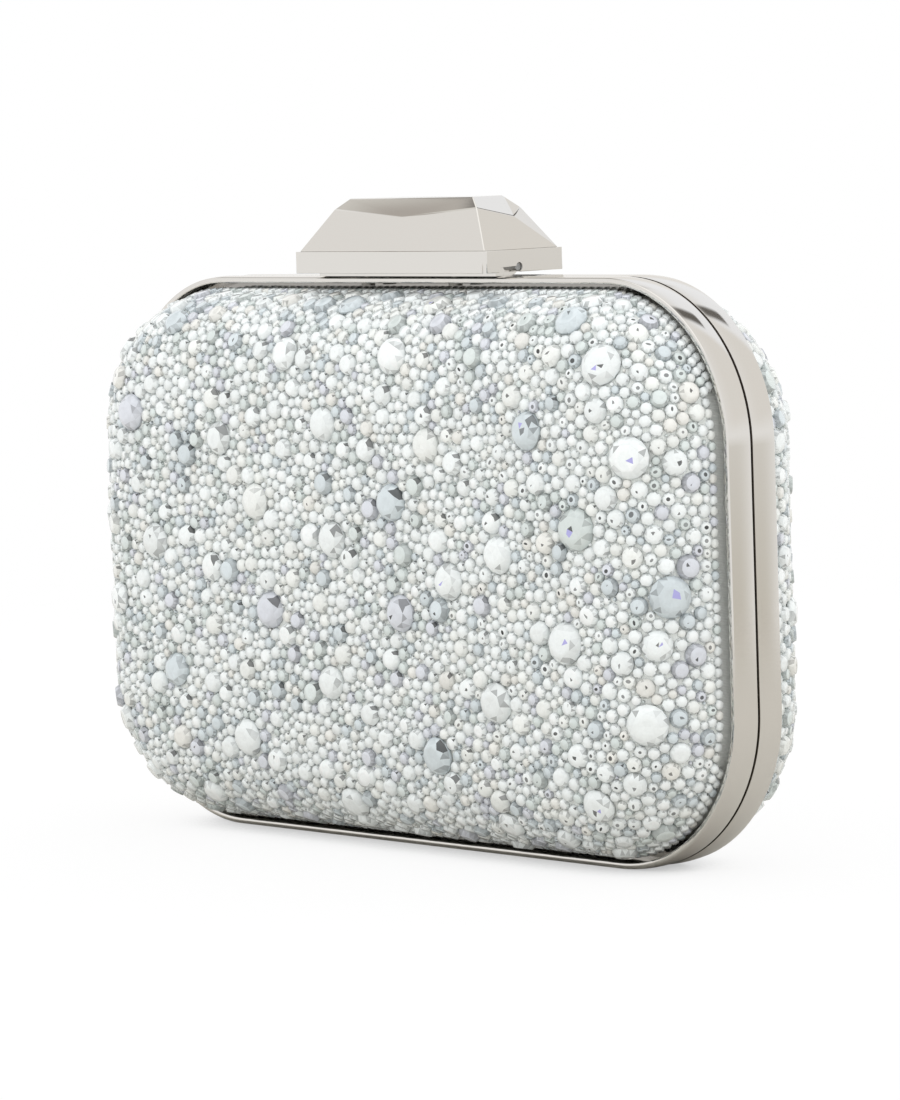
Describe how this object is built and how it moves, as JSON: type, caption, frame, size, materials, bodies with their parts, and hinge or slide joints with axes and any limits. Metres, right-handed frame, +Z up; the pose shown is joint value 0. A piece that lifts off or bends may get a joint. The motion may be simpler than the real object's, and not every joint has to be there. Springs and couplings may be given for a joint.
{
  "type": "minaudiere",
  "caption": "Crystal-paved hard box clutch: two rounded metal frames hinged along the bottom, a padded dome in each, and a faceted pivoting lever clasp on top.",
  "frame": {"origin": "centre of the bag's footprint on the surface that it stands on; the two frames meet at y = 0", "axes": "+X across the bag's width, +Y from the front half to the rear half, +Z up"},
  "size_m": [0.165, 0.0474, 0.122],
  "materials": {
    "polished_nickel": "polished pale nickel plate",
    "steel": "plain steel",
    "shell_plastic": "moulded, matt",
    "lining": "thin pearl-grey leather",
    "carrier_cloth": "grey mesh cloth",
    "small_crystals": "foil-backed cut glass, mostly clear",
    "large_crystals": "foil-backed cut glass, clear and pale blue"
  },
  "bodies": {
    "front_half": {"front_frame": "polished_nickel", "front_shell": "shell_plastic", "front_lining": "lining", "front_fabric": "carrier_cloth", "front_pave": "small_crystals", "front_large_crystals": "large_crystals", "front_knuckles": "polished_nickel", "hinge_pin": "steel", "clasp_bracket": "steel", "bracket_rivets": "steel", "clasp_pin": "steel", "clasp_spring": "steel"},
    "rear_half": {"rear_frame": "polished_nickel", "rear_shell": "shell_plastic", "rear_lining": "lining", "rear_fabric": "carrier_cloth", "rear_pave": "small_crystals", "rear_large_crystals": "large_crystals", "rear_knuckles": "polished_nickel", "catch_plate": "steel", "catch_rivets": "steel"},
    "clasp": {"clasp_housing": "polished_nickel", "clasp_cap": "polished_nickel", "cap_screws": "steel", "clasp_hook": "steel", "hook_rivets": "steel"}
  },
  "joints": [
    {"name": "rear_half_hinge", "type": "hinge", "parent": "front_half", "child": "rear_half", "pos_m": [0, 0, 0.0013], "axis": [-1, 0, 0], "range_deg": [0, 75]},
    {"name": "clasp_pivot", "type": "hinge", "parent": "front_half", "child": "clasp", "pos_m": [0, -0.0014, 0.10905], "axis": [1, 0, 0], "range_deg": [0, 7], "stiffness_Nm_per_rad": 0.06, "springref_deg": -22.92}
  ]
}
